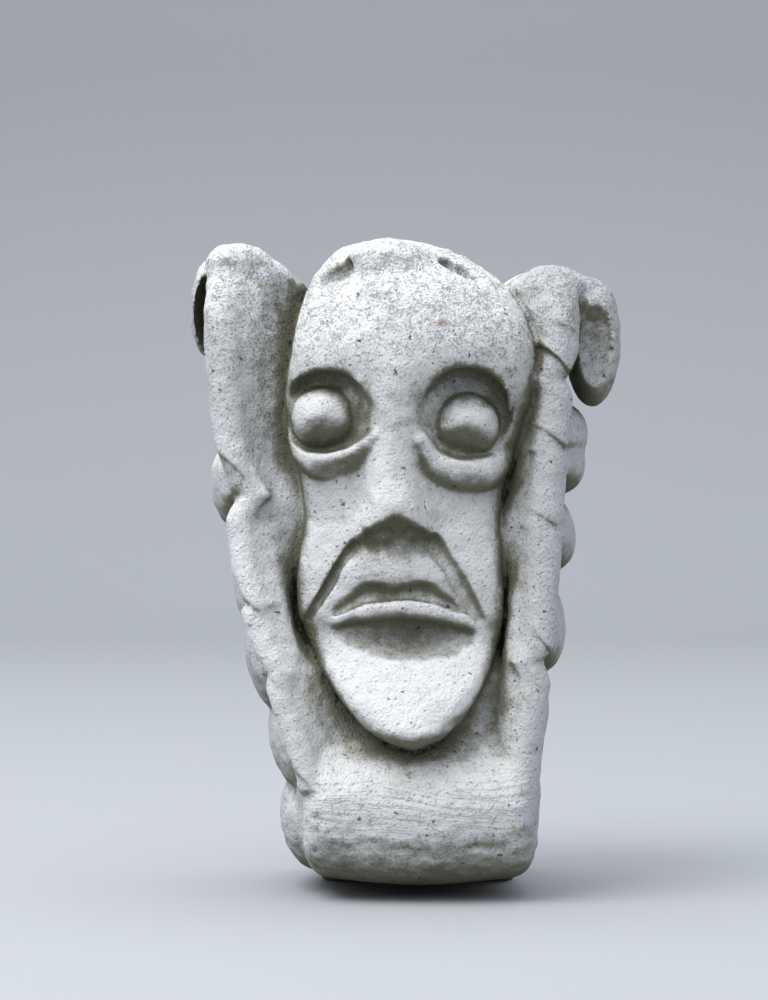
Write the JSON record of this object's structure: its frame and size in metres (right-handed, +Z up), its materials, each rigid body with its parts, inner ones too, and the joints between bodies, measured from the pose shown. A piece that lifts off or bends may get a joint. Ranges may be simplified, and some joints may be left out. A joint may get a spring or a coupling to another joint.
{
  "type": "grotesque mask",
  "caption": "Carved stone corbel mask: a long goggle-eyed face in a close cap between two curling leaves, on a block built into a wall.",
  "frame": {"origin": "middle of the flat back face, which is built into the wall", "axes": "+Y out of the back face into the wall, so the mask looks along -Y; +Z up, along the length of the mask"},
  "size_m": [0.2015, 0.1402, 0.3027],
  "materials": {
    "painted_stone": "matt white masonry paint over carved stone, weathered grey on top, olive-grey grime in the recesses"
  },
  "bodies": {
    "root": {"grotesque_mask": "painted_stone"}
  },
  "joints": []
}
